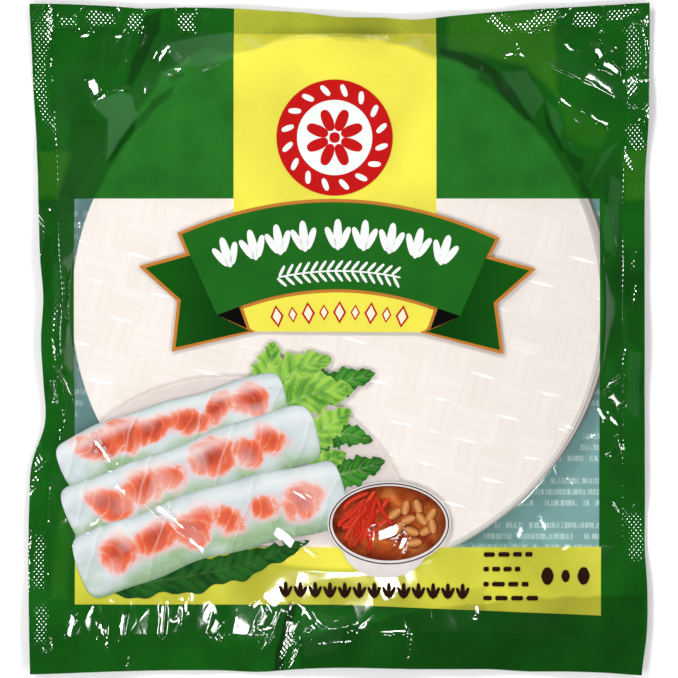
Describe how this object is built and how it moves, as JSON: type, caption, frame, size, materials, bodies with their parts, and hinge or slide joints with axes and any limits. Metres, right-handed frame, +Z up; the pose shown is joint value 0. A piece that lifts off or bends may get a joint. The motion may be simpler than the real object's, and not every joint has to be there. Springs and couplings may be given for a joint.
{
  "type": "rice paper wrapper stack",
  "caption": "Flat sealed film pouch lying face up, a round stack of dry rice papers pressed through its clear window, with puckered margins and sealed edges.",
  "frame": {"origin": "on the surface the pouch lies on, under the middle of its box", "axes": "+Z up out of the shown face, +Y towards the top edge of the print, +X towards its right edge"},
  "size_m": [0.2568, 0.278, 0.0104],
  "materials": {
    "printed_film": "glossy printed pouch film, creased",
    "clear_film": "clear glossy pouch film",
    "back_film": "glossy film printed in blue-green, with pale lines",
    "rice_paper": "dry translucent rice sheet with a bamboo-mat weave pressed in"
  },
  "bodies": {
    "root": {"pouch": "printed_film"}
  },
  "joints": []
}
